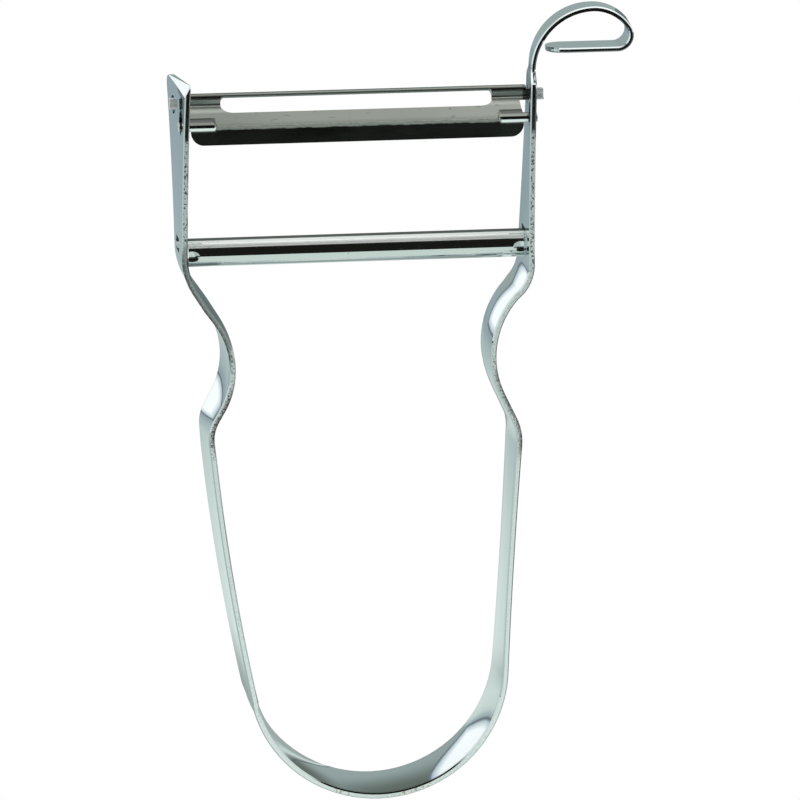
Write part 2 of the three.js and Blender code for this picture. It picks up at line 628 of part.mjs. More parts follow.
for (let k = 0; k <= stopSteps; k += 1) {
  const angle = THREE.MathUtils.lerp(stopLowAngle, stopHighAngle, k / stopSteps);
  const { y, z } = bladePoint(stopOuterRadius * Math.cos(angle), stopOuterRadius * Math.sin(angle));
  stopSlotOutline.push([y, z]);
}
for (let k = stopSteps; k >= 0; k -= 1) {
  const angle = THREE.MathUtils.lerp(stopLowAngle, stopHighAngle, k / stopSteps);
  const { y, z } = bladePoint(stopInnerRadius * Math.cos(angle), stopInnerRadius * Math.sin(angle));
  stopSlotOutline.push([y, z]);
}
stopSlotOutline.reverse();

// Crossbar channel and its riveted tabs.
const barHalf = (BAR_TALL - BAR_SHEET) / 2;
const barFold = { y: -(BAR_DEEP - BAR_SHEET) / 2, radius: barHalf - 0.02 };
const barLine = bentLine([
  { y: BAR_DEEP / 2, z: BAR_HEIGHT + barHalf },
  { ...barFold, z: BAR_HEIGHT + barHalf },
  { ...barFold, z: BAR_HEIGHT - barHalf },
  { y: BAR_DEEP / 2, z: BAR_HEIGHT - barHalf },
]);
const barLow = BAR_HEIGHT - BAR_TALL / 2;
const barHigh = BAR_HEIGHT + BAR_TALL / 2;
const shares = [0, 0.2, 0.4, 0.6, 0.8, 1];
const between = (low, high) => shares.map((t) => THREE.MathUtils.lerp(low, high, t));

// Every face place over a patch of an arm, from which a fit takes the nearest one.
const facePlaces = (face, inner, low, high, front, back) =>
  between(low, high).flatMap((z) => [front, back].map((y) => face(inner, z, y)));
const barPatch = [barLow, barHigh, -BAR_DEEP / 2, BAR_DEEP / 2];
const barLeft = Math.max(...facePlaces(leftArmFaceX, 1, ...barPatch)) + BAR_FIT;
const barRight = Math.min(...facePlaces(rightArmFaceX, 1, ...barPatch)) - BAR_FIT;
const tabBack = BAR_DEEP / 2;
const tabFront = tabBack - BAR_TAB_WIDTH;
const tabHigh = barHigh;
const tabLow = barHigh - BAR_SHEET;
const tabPatch = [tabLow, tabHigh, tabFront, tabBack];
const tabLeft = Math.min(...facePlaces(leftArmFaceX, -1, ...tabPatch)) - BAR_TAB_PROUD;
const tabRight = Math.max(...facePlaces(rightArmFaceX, -1, ...tabPatch)) + BAR_TAB_PROUD;
const tabRoot = 2;
let crossbar = Manifold.union([
  prismAlongX(sheetOutline(barLine, BAR_SHEET), barLeft, barRight),
  boxSolid(tabLeft, barLeft + tabRoot, tabFront, tabBack, tabLow, tabHigh),
  boxSolid(barRight - tabRoot, tabRight, tabFront, tabBack, tabLow, tabHigh),
]);

// Round punch mark at each end of the bar's front, where the bar was staked to the arm.
const stakeY = -BAR_DEEP / 2 - BAR_STAKE_RADIUS + BAR_STAKE_DEPTH;
for (const x of [barLeft + BAR_STAKE_FROM_END, barRight - BAR_STAKE_FROM_END]) {
  const punch = Manifold.sphere(BAR_STAKE_RADIUS, 2 * ROUND_SEGMENTS).translate([x, stakeY, BAR_HEIGHT]);
  crossbar = crossbar.subtract(punch);
}

for (const [x0, x1] of armHoles) {
  const pivotHole = cylinderAlongX(PIVOT_Y, PIVOT_HEIGHT, PIVOT_HOLE_DIAMETER / 2, x0, x1);
  const stopSlot = prismAlongX(stopSlotOutline, x0, x1);
  const tabSlot = boxSolid(
    x0,
    x1,
    tabFront - BAR_TAB_CLEARANCE,
    tabBack + BAR_TAB_CLEARANCE,
    tabLow - BAR_TAB_SLACK,
    tabHigh + BAR_TAB_SLACK,
  );
  bow = bow.subtract(Manifold.union([pivotHole, stopSlot, tabSlot]));
}

// Assembly, moved so that the origin is the middle of the foot of its box.

const steel = (name, color, roughness) => {
  const material = new THREE.MeshStandardMaterial({ color, roughness, metalness: 1 });
  material.name = name;
  return material;
};

const pieces = [
  ["bow", bow, steel("plated_strip", 0xc8d2d4, 0.12)],
  ["crossbar", crossbar, steel("plated_bar", 0xccd3d1, 0.1)],
  ["blade", blade, steel("blade_steel", 0x8e9488, 0.22)],
];
const whole = new THREE.Box3();
const meshes = pieces.map(([name, solid, material]) => {
  const mesh = new THREE.Mesh(solidToGeometry(solid), material);
  mesh.name = name;
  whole.expandByObject(mesh);
  return mesh;
});
const middle = whole.getCenter(new THREE.Vector3());
const peeler = new THREE.Group();
peeler.name = "vegetable_peeler";
for (const mesh of meshes) {
  mesh.geometry.translate(-middle.x, -middle.y, -whole.min.z);
  peeler.add(mesh);
}

export default peeler;
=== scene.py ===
"""Looks of the vegetable peeler: plated strip and crossbar, darker blade steel, pale studio."""

import math
from types import SimpleNamespace

import bpy
from mathutils import Matrix, Quaternion, Vector

MM = 0.001

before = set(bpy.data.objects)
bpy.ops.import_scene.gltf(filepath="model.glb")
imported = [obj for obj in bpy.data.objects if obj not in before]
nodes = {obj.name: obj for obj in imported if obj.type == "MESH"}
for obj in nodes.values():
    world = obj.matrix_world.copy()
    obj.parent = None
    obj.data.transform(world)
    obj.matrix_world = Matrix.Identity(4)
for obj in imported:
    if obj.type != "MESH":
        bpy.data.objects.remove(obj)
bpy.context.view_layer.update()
scene = bpy.context.scene


# Node helpers


class Tree:
    """Short ways to add and link nodes in one node tree."""

    def __init__(self, tree):
        self.tree = tree
        self.tree.nodes.clear()

    def add(self, kind, inputs=None, **settings):
        node = self.tree.nodes.new(kind)
        for key, value in settings.items():
            setattr(node, key, value)
        for key, value in (inputs or {}).items():
            self.set(node.inputs[key], value)
        return node

    def set(self, socket, value):
        if isinstance(value, bpy.types.NodeSocket):
            self.tree.links.new(value, socket)
        else:
            socket.default_value = value

    def math(self, operation, *values):
        node = self.add("ShaderNodeMath", operation=operation)
        for socket, value in zip(node.inputs, values):
            self.set(socket, value)
        return node.outputs[0]

    def product(self, first, *others):
        for value in others:
            first = self.math("MULTIPLY", first, value)
        return first

    def largest(self, first, *others):
        for value in others:
            first = self.math("MAXIMUM", first, value)
        return first

    def inverse(self, mask):
        return self.math("SUBTRACT", 1.0, mask)

    def ramp(self, value, low, high, start=0.0, end=1.0):
        """Smooth step of a value from low to high, between two results."""
        node = self.add("ShaderNodeMapRange", interpolation_type="SMOOTHSTEP", clamp=True)
        for socket, given in zip(node.inputs, (value, low, high, start, end)):
            self.set(socket, given)
        return node.outputs[0]

    def ease(self, mask, start, end):
        """Smooth step between the results for no mask and for a full one."""
        return self.ramp(mask, 0.0, 1.0, start, end)

    def outside(self, value, limits, soft):
        """One beyond either limit, none between them."""
        low, high = limits
        below = self.ramp(value, low - soft, low + soft, 1.0, 0.0)
        return self.largest(below, self.ramp(value, high - soft, high + soft))

    def between(self, value, limits, soft):
        """One between the limits, none beyond them."""
        return self.inverse(self.outside(value, limits, soft))

    def mix(self, factor, first, second, kind="Color"):
        """Mix of two colours, or of two numbers where the kind is Float."""
        node = self.add("ShaderNodeMix", data_type="RGBA" if kind == "Color" else "FLOAT")
        given = {"Factor_Float": factor, "A_" + kind: first, "B_" + kind: second}
        for socket in node.inputs:
            if socket.identifier in given:
                self.set(socket, given[socket.identifier])
        return next(s for s in node.outputs if s.identifier == "Result_" + kind)

    def blend(self, factor, first, second):
        return self.mix(factor, first, second, "Float")

    def split(self, vector):
        """The three components of a vector."""
        return self.add("ShaderNodeSeparateXYZ", {0: vector}).outputs

    def place(self, stretch=(1, 1, 1)):
        """Object coordinates in millimetres, stretched along the axes."""
        coords = self.add("ShaderNodeTexCoord").outputs["Object"]
        scale = [share / MM for share in stretch]
        return self.add("ShaderNodeMapping", {"Vector": coords, "Scale": scale}).outputs[0]

    def facing(self):
        """The three components of the direction that a face looks in."""
        return self.split(self.add("ShaderNodeNewGeometry").outputs["True Normal"])

    def noise(self, vector, scale, detail, roughness=0.5):
        node = self.add(
            "ShaderNodeTexNoise",
            {"Vector": vector, "Scale": scale, "Detail": detail, "Roughness": roughness},
        )
        return node.outputs[0]

    def bump(self, height, strength, depth, under=None):
        """Normal of a relief, on top of another relief's normal where one is given."""
        relief = {"Height": height, "Strength": strength, "Distance": depth * MM}
        if under is not None:
            relief["Normal"] = under
        return self.add("ShaderNodeBump", relief).outputs[0]


def rgb(red, green, blue):
    return (red, green, blue, 1.0)


# Smooth faces of the solids: close points are joined and only real corners stay sharp

JOIN_DISTANCE = 0.002 * MM
EVEN_WEIGHT = 50


def smooth_faces(name, corner_deg):
    group = bpy.data.node_groups.new("smooth_" + name, "GeometryNodeTree")
    for direction in ("INPUT", "OUTPUT"):
        group.interface.new_socket("Geometry", in_out=direction, socket_type="NodeSocketGeometry")
    tree = Tree(group)
    source = tree.add("NodeGroupInput")
    plain = tree.add(
        "GeometryNodeRemoveAttribute", {"Geometry": source.outputs[0], "Name": "custom_normal"}
    )
    joined = tree.add(
        "GeometryNodeMergeByDistance", {"Geometry": plain.outputs[0], "Distance": JOIN_DISTANCE}
    )
    smooth = tree.add(
        "GeometryNodeSetShadeSmooth",
        {"Geometry": joined.outputs[0], "Shade Smooth": True},
        domain="FACE",
    )
    angle = tree.add("GeometryNodeInputMeshEdgeAngle")
    corner = tree.add(
        "FunctionNodeCompare",
        {"A": angle.outputs["Unsigned Angle"], "B": math.radians(corner_deg)},
        operation="GREATER_THAN",
    )
    sharp = tree.add(
        "GeometryNodeSetShadeSmooth",
        {
            "Geometry": smooth.outputs[0],
            "Selection": corner.outputs["Result"],
            "Shade Smooth": False,
        },
        domain="EDGE",
    )
    tree.add("NodeGroupOutput", {"Geometry": sharp.outputs[0]})
    modifier = nodes[name].modifiers.new("smooth", "NODES")
    modifier.node_group = group
    even = nodes[name].modifiers.new("even_normals", "WEIGHTED_NORMAL")
    even.mode = "FACE_AREA_WITH_ANGLE"
    even.weight = EVEN_WEIGHT
    even.keep_sharp = True


# Materials

# Places are in millimetres. A noise has its scale, its detail and maybe its roughness, a relief its
# strength and its depth in millimetres. Levels are where a noise starts to show and shows in full.
HAZE_LEVELS = (0.3, 0.7)


def new_material(name):
    material = bpy.data.materials.new(name)
    material.use_nodes = True
    return material, Tree(material.node_tree)


def show_metal(tree, colour, metallic, roughness, normal):
    shader = tree.add(
        "ShaderNodeBsdfPrincipled",
        {"Base Color": colour, "Metallic": metallic, "Roughness": roughness, "Normal": normal},
    )
    tree.add("ShaderNodeOutputMaterial", {"Surface": shader.outputs[0]})


# Strip of the bow

# Zones along the strip: from its left to its right half, and by height from the foot upward
MIDDLE = (-1.0, 1.0)
FOOT_TOP = (4.0, 5.0)
ROUGH_SHOULDER = (52.0, 62.5)
DENSE_RISE = (58.0, 70.0)
CLEAN_BEND = (66.0, 78.5)
SMOOTH_BEND = (68.0, 83.5)
# Heights of the right arm where its right-facing corner gets a painted highlight
HIGHLIGHT_CORNER = (80.0, 97.5)
GRAIN_TOP = (97.7, 98.7)
ZONE_SOFT = 1.0

# Distance from the strip's middle where its faces turn darker towards the front and back edges,
# and how much
EDGE_BAND_START = (5.0, 5.7)
EDGE_BAND_SHARE = 0.45

# How far a face of the strip looks to the front or back, and how far a corner looks to the right
EDGE_TURN = (0.86, 0.94)
NEAR_EDGE_TURN = (0.45, 0.55)
CORNER_TURN = (0.5, 0.86)
CORNER_SOFT = 0.05
RIGHT_TURN = (0.2, 0.4)

STRIP_WAVE = (0.12, 1.0)
STRIP_HAZE = (1.6, 4.0)
STRIP_GRAIN = (2.8, 2.0, 0.6)
GRAIN_LEVELS = (0.50, 0.60)
STRIP_PATCHES = (0.09, 1.0)
PATCH_LEVELS = (0.5, 0.62)

# Share of the grain that shows as pits: in patches of the bow, on the right and left shoulder,
# in the left and right bend
PATCH_PITS = (0.05, 0.2)
SHOULDER_PITS = (0.5, 0.9)
SMOOTH_PITS = 0.08
CLEAN_PITS = 0.2

# Where the edge at the foot of the bow has a few tarnished specks, from left to right
SPECK_SPANS = ((-12.0, -9.0), (-3.0, 4.0))
SPECK_SOFT = 0.5
TARNISH_SHARE = 0.8

# Burr with painted shade along a corner of the sheared edges: half of the strip, heights, side
# that the corner faces, and how far the rounded corner looks to that side where the dark line starts
# and where it is full
BURRS = (
    (-1, (65.5, 82.0), -1, (0.16, 0.30)),
    (-1, (53.5, 62.0), 1, (-0.08, 0.04)),
    (1, (51.0, 63.5), 1, (0.04, 0.14)),
)
BURR_SOFT = 1.5
BURR_ROUNDING = 1.6
BURR_SAMPLES = 8
BURR_DOTS = (2.2, 1.0)
DOT_LEVELS = (0.36, 0.46)
DOT_LEAST = 0.4

# How much painted shade darkens the corner inside the left bend
BEND_SHADE_SHARE = 0.8

PLATING = rgb(0.70, 0.735, 0.75)
PLATING_EDGE_BAND = rgb(0.42, 0.46, 0.47)
EDGE_BRIGHT = rgb(0.95, 0.97, 0.96)
EDGE_BENT = rgb(0.50, 0.53, 0.52)
EDGE_PITTED = rgb(0.20, 0.21, 0.205)
EDGE_TARNISHED = rgb(0.52, 0.44, 0.30)
# Black of the burr lines with painted shade, also used for the painted shade in the left bend
BURR_AND_SHADE_BLACK = rgb(0.05, 0.055, 0.053)
# Painted highlight on the right arm's rounded corner
CORNER_HIGHLIGHT_WHITE = rgb(0.85, 0.88, 0.87)

STRIP_FACE_ROUGH = (0.025, 0.06)
STRIP_EDGE_ROUGH = 0.3
# Metallic of the burr lines with painted shade and of the painted highlight on the right arm
BURR_SHADE_HIGHLIGHT_METALLIC = 0.1
WAVE_RELIEF = (0.12, 0.05)
PIT_RELIEF = (0.55, 0.03)


def strip_zones(tree):
    """Where a point of the strip lies, and on which of its zones."""
    at = SimpleNamespace(coords=tree.place())
    at.along, at.across, at.height = tree.split(at.coords)
    sideways, forward, _ = tree.facing()
    at.steep = tree.math("ABSOLUTE", forward)
    at.left = tree.ramp(at.along, *MIDDLE, 1.0, 0.0)
    at.right = tree.ramp(at.along, *MIDDLE)
    at.bend = tree.product(at.left, tree.between(at.height, SMOOTH_BEND, ZONE_SOFT))
    at.torn = tree.product(
        tree.ramp(at.steep, *EDGE_TURN), tree.ramp(at.height, *GRAIN_TOP, 1.0, 0.0)
    )
    at.right_corner = tree.product(
        tree.between(at.steep, CORNER_TURN, CORNER_SOFT), tree.ramp(sideways, *RIGHT_TURN)
    )
    at.grain = tree.noise(at.coords, *STRIP_GRAIN)
    return at


def strip_pits(tree, at):
    """Torn grain of the sheared edges: dense in the arms, patchy in the bow, faint in the bends."""
    patches = tree.noise(at.coords, *STRIP_PATCHES)
    shoulder = tree.between(at.height, ROUGH_SHOULDER, ZONE_SOFT)
    dense = tree.largest(
        tree.ramp(at.height, *DENSE_RISE),
        tree.ramp(patches, *PATCH_LEVELS, *PATCH_PITS),
        tree.product(shoulder, tree.ease(at.left, *SHOULDER_PITS)),
    )
    clean = tree.product(at.right, tree.between(at.height, CLEAN_BEND, ZONE_SOFT))
    return tree.product(
        tree.ramp(at.grain, *GRAIN_LEVELS),
        dense,
        tree.ease(at.bend, 1.0, SMOOTH_PITS),
        tree.ease(clean, 1.0, CLEAN_PITS),
    )


def strip_burr_and_shade(tree, at):
    """Dark lines along some corners of the sheared edges, broken up by dots: burr with painted shade.
    """
    rounding = {"Radius": BURR_ROUNDING * MM}
    rounded = tree.add("ShaderNodeBevel", rounding, samples=BURR_SAMPLES).outputs[0]
    turned_side = tree.split(rounded)["X"]
    runs = []
    for side, heights, facing, reach in BURRS:
        half = at.left if side < 0 else at.right
        turned = tree.ramp(tree.math("MULTIPLY", turned_side, facing), *reach)
        runs.append(tree.product(half, tree.between(at.height, heights, BURR_SOFT), turned))
    dots = tree.ramp(tree.noise(at.coords, *BURR_DOTS), *DOT_LEVELS, DOT_LEAST, 1.0)
    return tree.product(tree.ramp(at.steep, *NEAR_EDGE_TURN), tree.largest(*runs), dots)


def strip_edge_tint(tree, at, pits):
    """Tint of the sheared edges with their pits and the tarnished specks at the foot."""
    smooth = tree.mix(at.bend, EDGE_BRIGHT, EDGE_BENT)
    pitted = tree.mix(pits, smooth, EDGE_PITTED)
    specks = tree.largest(*(tree.between(at.along, span, SPECK_SOFT) for span in SPECK_SPANS))
    tarnish = tree.product(
        specks,
        tree.ramp(at.height, *FOOT_TOP, 1.0, 0.0),
        tree.ramp(at.grain, *GRAIN_LEVELS, 0.0, TARNISH_SHARE),
    )
    return tree.mix(tarnish, pitted, EDGE_TARNISHED)


def plated_strip():
    """Bright plating on the faces, torn grain and burr lines with painted shade on the sheared edges
    below the blade, painted shade in the left bend's corner and a painted highlight on the right
    arm's corner.
    """
    material, tree = new_material("plated_strip_look")
    at = strip_zones(tree)
    pits = strip_pits(tree, at)
    burr_and_shade_lines = strip_burr_and_shade(tree, at)
    # Painted shade on the right-facing corner inside the left bend
    bend_corner_shade = tree.product(at.right_corner, at.bend, BEND_SHADE_SHARE)
    # Painted highlight on the right-facing corner of the right arm
    pale = tree.product(
        at.right_corner, at.right, tree.between(at.height, HIGHLIGHT_CORNER, ZONE_SOFT)
    )
    edge_band = tree.ramp(tree.math("ABSOLUTE", at.across), *EDGE_BAND_START, 0.0, EDGE_BAND_SHARE)

    colour = tree.mix(edge_band, PLATING, PLATING_EDGE_BAND)
    colour = tree.mix(at.torn, colour, strip_edge_tint(tree, at, pits))
    # Burr lines with painted shade, and painted shade in the left bend's corner
    colour = tree.mix(tree.largest(burr_and_shade_lines, bend_corner_shade), colour, BURR_AND_SHADE_BLACK)
    colour = tree.mix(pale, colour, CORNER_HIGHLIGHT_WHITE)
    metallic = tree.ease(tree.largest(burr_and_shade_lines, pale), 1.0, BURR_SHADE_HIGHLIGHT_METALLIC)
    haze = tree.noise(at.coords, *STRIP_HAZE)
    face_rough = tree.ramp(haze, *HAZE_LEVELS, *STRIP_FACE_ROUGH)
    roughness = tree.blend(tree.largest(at.torn, burr_and_shade_lines), face_rough, STRIP_EDGE_ROUGH)
    wavy = tree.bump(tree.noise(at.coords, *STRIP_WAVE), *WAVE_RELIEF)
    normal = tree.bump(tree.product(pits, at.torn), *PIT_RELIEF, wavy)
    show_metal(tree, colour, metallic, roughness, normal)
    return material


# Crossbar

# Depths between which the bar's flat top turns from satin to painted shade
SATIN_TO_SHADE_DEPTH = (0.25, 0.65)

# How far a face of the bar looks up, on its flat top and on the fold beside it
TOP_TURN = (0.90, 0.95)
FOLD_TURN = (0.68, 0.74)

BAR_STRETCH = (0.02, 3, 3)
BAR_LINES = (1.2, 3.0)
BAR_HAZE = (1.1, 4.0)
BAR_SPECKS = (1.5, 1.0)
BAR_SPECK_LEVELS = (0.74, 0.8)

BAR_PLATING = rgb(0.73, 0.76, 0.745)
BAR_SPECKED = rgb(0.42, 0.43, 0.4)
# Painted highlight on the fold beside the bar's flat top
BAR_FOLD_HIGHLIGHT = rgb(0.95, 0.96, 0.95)
# Painted shade on the back of the bar's flat top
BAR_TOP_SHADE = rgb(0.09, 0.10, 0.095)

BAR_FACE_ROUGH = (0.04, 0.1)
BAR_FOLD_ROUGH = 0.5
BAR_SATIN_ROUGH = 0.6
BAR_RELIEF = (0.12, 0.01)


def plated_bar():
    """Bright plating with faint draw lines along the bar and small specks, a painted highlight on the
    fold beside the flat top and painted shade on the back of the flat top.
    """
    material, tree = new_material("plated_bar_look")
    coords = tree.place()
    depth = tree.split(coords)["Y"]
    upward = tree.facing()["Z"]
    top = tree.ramp(upward, *TOP_TURN)
    fold_highlight = tree.ramp(upward, *FOLD_TURN)
    specks = tree.ramp(tree.noise(coords, *BAR_SPECKS), *BAR_SPECK_LEVELS)
    # Painted shade on the back of the flat top
    top_shade = tree.product(top, tree.ramp(depth, *SATIN_TO_SHADE_DEPTH))
    satin = tree.product(top, tree.ramp(depth, *SATIN_TO_SHADE_DEPTH, 1.0, 0.0))

    colour = tree.mix(specks, BAR_PLATING, BAR_SPECKED)
    # Painted highlight on the fold
    colour = tree.mix(fold_highlight, colour, BAR_FOLD_HIGHLIGHT)
    colour = tree.mix(top_shade, colour, BAR_TOP_SHADE)
    haze = tree.noise(coords, *BAR_HAZE)
    bright = tree.largest(
        tree.product(fold_highlight, BAR_FOLD_ROUGH), tree.ramp(haze, *HAZE_LEVELS, *BAR_FACE_ROUGH)
    )
    roughness = tree.blend(satin, bright, BAR_SATIN_ROUGH)
    lines = tree.noise(tree.place(BAR_STRETCH), *BAR_LINES)
    show_metal(tree, colour, 1.0, roughness, tree.bump(lines, *BAR_RELIEF))
    return material


# Blade

# Places from left to right: faces of the two arms and inner ends of the beads
ARM_OUTER = (-32.45, 18.85)
ARM_INNER = (-31.2, 17.6)
ARM_SOFT = 0.1
BEAD_ENDS = (-27.2, 13.7)
BEAD_ENDS_SOFT = 0.2

# Depths of the beads: their ledge and their nose
LEDGE = (-3.1, -1.5)
LEDGE_SOFT = 0.15
NOSE_BACK = (-3.25, -3.05)

# Heights: the beads' nose, the fold with its painted highlight, the flange's top, the step and the
# rim over the slot
NOSE = (99.2, 100.0)
NOSE_SOFT = 0.1
FOLD = (99.58, 100.0)
FOLD_SOFT = 0.16
FOLD_WANDER = (-0.05, 0.05)
FLANGE_TOP = (100.0, 100.5)
STEP = (101.5, 103.3)
STEP_SOFT = 0.2
RIM = (103.35, 103.58)
RIM_SOFT = 0.03

# The fold's painted highlight shows only on faces that look to the front, told by the depth part
# of their normal
FOLD_FRONT = (-0.65, -0.55)

BLADE_STRETCH = (0.03, 4, 4)
BLADE_LINES = (1.5, 3.0)
CLOUD_STRETCH = (0.25, 1, 1)
BLADE_CLOUD = (0.35, 3.0)
CLOUD_LEVELS = (0.35, 0.65)
BLADE_SPECKS = (1.1, 0.5)
BLADE_SPECK_LEVELS = (0.70, 0.76)
# Noise that makes the edge of the fold's painted highlight ragged
FOLD_RAGGED = (0.9, 2.0)

# Steel's tints, with the places from left to right where it turns lighter
STEEL = (rgb(0.158, 0.168, 0.151), rgb(0.172, 0.181, 0.163))
LIGHTER_STEEL = (
    ((-26.0, -15.0), rgb(0.205, 0.217, 0.196)),
    ((0.0, 12.0), rgb(0.228, 0.240, 0.219)),
)
LIGHTER_SHARE = 0.8
STEEL_SPECKED = rgb(0.10, 0.11, 0.10)
SPECK_SHARE = 0.5
# Painted shade on the flange and on the beads' ledges
PAINTED_SHADE_DARK = rgb(0.04, 0.044, 0.04)
FLANGE_SHADE_SHARE = 0.3
LEDGE_SHADE_SHARE = 0.85
# Painted highlight on the beads' nose
NOSE_HIGHLIGHT_WHITE = rgb(0.95, 0.96, 0.95)
# Painted highlight on the step
STEP_HIGHLIGHT_PALE = rgb(0.46, 0.49, 0.45)
# Painted shade along the rim over the slot
RIM_SHADE_BLACK = rgb(0.03, 0.03, 0.028)
RIM_SHADE_SHARE = 0.75
# Painted highlight at the fold between web and flange
FOLD_HIGHLIGHT_GREY = rgb(0.50, 0.52, 0.48)
# Painted shade where the blade runs inside the arms
SLOT_SHADE_DARK = rgb(0.10, 0.11, 0.105)
# Painted highlight on the pivot stubs beyond the arms
STUB_HIGHLIGHT_WHITE = rgb(0.82, 0.82, 0.81)

ROLLED_ROUGH = (0.12, 0.16)
STEP_ROUGH = 0.36
# Roughness and metallic of the nearly matt painted highlights on the stubs and the fold
PAINTED_LIGHT_ROUGH = 0.6
PAINTED_LIGHT_METALLIC = 0.15
BLADE_RELIEF = (0.05, 0.01)


def blade_zones(tree):
    """Where a point of the blade lies, and on which of its zones."""
    at = SimpleNamespace(coords=tree.place())
    at.along, at.across, at.height = tree.split(at.coords)
    at.bead_run = tree.outside(at.along, BEAD_ENDS, BEAD_ENDS_SOFT)
    at.slot_run = tree.inverse(at.bead_run)
    at.step = tree.between(at.height, STEP, STEP_SOFT)
    at.stub = tree.outside(at.along, ARM_OUTER, ARM_SOFT)
    ragged_edge = tree.ramp(tree.noise(at.coords, *FOLD_RAGGED), *HAZE_LEVELS, *FOLD_WANDER)
    at.fold = tree.product(
        at.slot_run,
        tree.ramp(tree.facing()["Y"], *FOLD_FRONT, 1.0, 0.0),
        tree.between(tree.math("ADD", at.height, ragged_edge), FOLD, FOLD_SOFT),
    )
    at.cloud = tree.noise(tree.place(CLOUD_STRETCH), *BLADE_CLOUD)
    return at


def steel_tint(tree, at):
    """Cloudy steel with specks, lighter to the right."""
    tint = tree.mix(tree.ramp(at.cloud, *CLOUD_LEVELS), *STEEL)
    for span, lighter in LIGHTER_STEEL:
        tint = tree.mix(tree.ramp(at.along, *span, 0.0, LIGHTER_SHARE), tint, lighter)
    specks = tree.ramp(tree.noise(at.coords, *BLADE_SPECKS), *BLADE_SPECK_LEVELS)
    return tree.mix(tree.product(specks, SPECK_SHARE), tint, STEEL_SPECKED)


def tint_with_painted_light(tree, at, tint):
    """The steel's tint with painted light at the shapes of the press: painted shade on the flange,
    the beads' ledges and the rim, painted highlights on the beads' nose, the step and the fold.
    """
    ledge = tree.product(at.bead_run, tree.between(at.across, LEDGE, LEDGE_SOFT))
    flange = tree.product(tree.ramp(at.height, *FLANGE_TOP, FLANGE_SHADE_SHARE, 0.0), at.slot_run)
    nose = tree.product(
        at.bead_run,
        tree.ramp(at.across, *NOSE_BACK, 1.0, 0.0),
        tree.between(at.height, NOSE, NOSE_SOFT),
    )
    rim = tree.product(tree.between(at.height, RIM, RIM_SOFT), RIM_SHADE_SHARE)
    # Painted shade on the flange and the beads' ledges
    tint = tree.mix(tree.largest(flange, tree.product(ledge, LEDGE_SHADE_SHARE)), tint, PAINTED_SHADE_DARK)
    # Painted highlight on the beads' nose
    tint = tree.mix(nose, tint, NOSE_HIGHLIGHT_WHITE)
    # Painted highlight on the step
    tint = tree.mix(at.step, tint, STEP_HIGHLIGHT_PALE)
    # Painted shade along the rim over the slot
    tint = tree.mix(rim, tint, RIM_SHADE_BLACK)
    # Painted highlight at the fold
    return tree.mix(at.fold, tint, FOLD_HIGHLIGHT_GREY)


def blade_steel():
    """Darker rolled steel, a touch greenish, with faint specks, painted shade where it runs in the
    arms, and painted highlights on the stubs, the fold, the beads' nose and the step.
    """
    material, tree = new_material("blade_steel_look")
    at = blade_zones(tree)
    colour = tint_with_painted_light(tree, at, steel_tint(tree, at))
    # Painted shade where the blade runs inside the arms
    colour = tree.mix(tree.outside(at.along, ARM_INNER, ARM_SOFT), colour, SLOT_SHADE_DARK)
    # Painted highlight on the pivot stubs
    colour = tree.mix(at.stub, colour, STUB_HIGHLIGHT_WHITE)
    painted_light_matt = tree.largest(at.stub, at.fold)
    metallic = tree.ease(painted_light_matt, 1.0, PAINTED_LIGHT_METALLIC)
    rolled = tree.blend(at.step, tree.ramp(at.cloud, *HAZE_LEVELS, *ROLLED_ROUGH), STEP_ROUGH)
    roughness = tree.blend(painted_light_matt, rolled, PAINTED_LIGHT_ROUGH)
    lines = tree.noise(tree.place(BLADE_STRETCH), *BLADE_LINES)
    relief = tree.product(lines, tree.between(at.along, ARM_INNER, ARM_SOFT))
    show_metal(tree, colour, metallic, roughness, tree.bump(relief, *BLADE_RELIEF))
    return material


CORNER_DEG = {"bow": 24, "crossbar": 30, "blade": 30}
LOOKS = {"bow": plated_strip, "crossbar": plated_bar, "blade": blade_steel}
for name, look in LOOKS.items():
    smooth_faces(name, CORNER_DEG[name])
    nodes[name].data.materials.clear()
    nodes[name].data.materials.append(look())


# Studio in metres: a pale table before a dark room, a grey wall, a soft box and a light ceiling

WHITE = rgb(1.0, 1.0, 1.0)
ROOM_DARK = rgb(0.012, 0.012, 0.010)

# Table: zones by distance from the object, where a place in front counts as nearer than one behind
FLOOR_HALF = 6.0
FLOOR_CELLS = 8
FRONT_REACH = 0.45
NEAR_TO_MIDDLE = (0.09, 0.30)
MIDDLE_TO_FAR = (0.28, 0.50)
FAR_LEFT_TO_RIGHT = (-0.065, -0.048)
# Painted shadow of the object on the table around its foot
FOOT_DEPTH = (0.0, 0.065)
FOOT_SOFT = 0.02
SHADE_DEPTH = (0.0, 0.03)
SHADE_SIDE = (0.005, 0.04)
SHADE_SHARE = 0.55
TABLE_FRONT = (-0.528, -0.516)
FLOOR_FOOT_SHADOW = rgb(0.36, 0.43, 0.42)
FLOOR_NEAR = rgb(0.73, 0.84, 0.80)
FLOOR_MIDDLE = rgb(0.46, 0.57, 0.56)
FLOOR_FAR = rgb(0.354, 0.442, 0.473)
FLOOR_FAR_RIGHT = rgb(0.297, 0.386, 0.404)

# Soft box: depth behind the object, place of its right end, and its cloth from the rim inward
BOX_BACK = 0.58
BOX_RIGHT = -0.109
BOX_SIZE = (1.0, 0.6)
BOX_CELLS = 4
BOX_RIM = 0.012
BOX_RIM_SOFT = (-0.006, 0.006)
BOX_PALE_RIM = 0.04
BOX_WHITE = rgb(1.22, 1.26, 1.26)
BOX_PALE = rgb(0.62, 0.74, 0.80)
BOX_EDGE = rgb(0.19, 0.23, 0.235)

